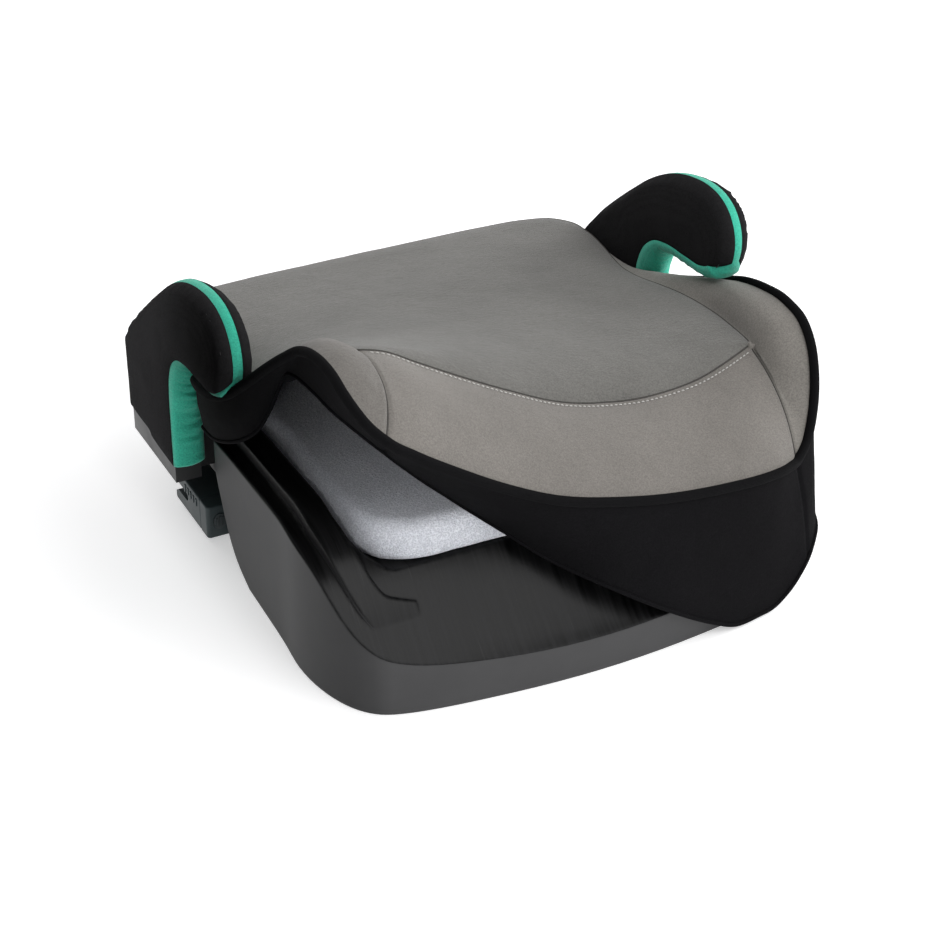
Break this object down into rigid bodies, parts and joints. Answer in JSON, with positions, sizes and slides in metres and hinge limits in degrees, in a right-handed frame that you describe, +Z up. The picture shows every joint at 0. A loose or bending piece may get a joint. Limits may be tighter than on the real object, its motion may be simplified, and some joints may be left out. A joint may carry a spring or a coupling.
{
  "type": "booster seat",
  "caption": "Backless child booster seat with a padded cover whose front corner folds back, hooked armrests for a lap belt, and sliding anchor connectors.",
  "frame": {"origin": "on the ground plane under the middle of the seat", "axes": "+Z up, -Y towards the front edge of the seat, +X towards the armrest that is on the right when the seat is looked at from the front"},
  "size_m": [0.4508, 0.4881, 0.2419],
  "materials": {
    "shell_plastic": "glossy deck, satin side walls",
    "armrest_plastic": "matte",
    "pad_foam": "open-cell foam",
    "grey_knit": "fine knit over foam",
    "black_fabric": "matte knit",
    "piping": "matte corded edge",
    "green_fabric": "matte knit",
    "connector_plastic": "satin moulded",
    "button_plastic": "satin moulded",
    "steel": "zinc plated"
  },
  "bodies": {
    "base": {"seat_shell": "shell_plastic", "foam_pad": "pad_foam", "armrest_screws": "steel", "cover_seat_panel": "grey_knit", "cover_seat_piping": "piping", "cover_seat_skirt": "black_fabric", "armrest_core_left": "armrest_plastic", "armrest_sleeve_inner_left": "black_fabric", "armrest_gusset_left": "green_fabric", "armrest_sleeve_outer_left": "black_fabric", "guide_rail_left": "armrest_plastic", "armrest_core_right": "armrest_plastic", "armrest_sleeve_inner_right": "black_fabric", "armrest_gusset_right": "green_fabric", "armrest_sleeve_outer_right": "black_fabric", "guide_rail_right": "armrest_plastic"},
    "cover_flap": {"cover_flap_panel": "grey_knit", "cover_flap_piping": "piping", "cover_flap_skirt": "black_fabric"},
    "button_left": {"release_button_left": "button_plastic"},
    "jaw_left": {"jaw_left": "steel"},
    "button_right": {"release_button_right": "button_plastic"},
    "jaw_right": {"jaw_right": "steel"},
    "connectors": {"cross_bar": "steel", "connector_housing_left": "connector_plastic", "connector_cap_left": "connector_plastic", "jaw_pin_left": "steel", "button_spring_left": "steel", "connector_housing_right": "connector_plastic", "connector_cap_right": "connector_plastic", "jaw_pin_right": "steel", "button_spring_right": "steel"}
  },
  "joints": [
    {"name": "cover_fold", "type": "hinge", "parent": "base", "child": "cover_flap", "pos_m": [0.125, -0.197, 0.148], "axis": [-0.8029, 0.5961, 0.0097], "range_deg": [-42, 15]},
    {"name": "connector_slide", "type": "slide", "parent": "base", "child": "connectors", "axis": [0, 1, 0], "range_m": [0, 0.08]},
    {"name": "button_press_left", "type": "slide", "parent": "connectors", "child": "button_left", "axis": [0, 1, 0], "range_m": [0, 0.004]},
    {"name": "jaw_turn_left", "type": "hinge", "parent": "connectors", "child": "jaw_left", "pos_m": [-0.176, 0.092, 0.025], "axis": [1, 0, 0], "range_deg": [0, 13.2]},
    {"name": "button_press_right", "type": "slide", "parent": "connectors", "child": "button_right", "axis": [0, 1, 0], "range_m": [0, 0.004]},
    {"name": "jaw_turn_right", "type": "hinge", "parent": "connectors", "child": "jaw_right", "pos_m": [0.176, 0.092, 0.025], "axis": [1, 0, 0], "range_deg": [0, 13.2]}
  ],
  "couplings": [
    {"joint": "jaw_turn_left", "follows": "button_press_left", "rad_per_m": 57},
    {"joint": "jaw_turn_right", "follows": "button_press_right", "rad_per_m": 57}
  ]
}
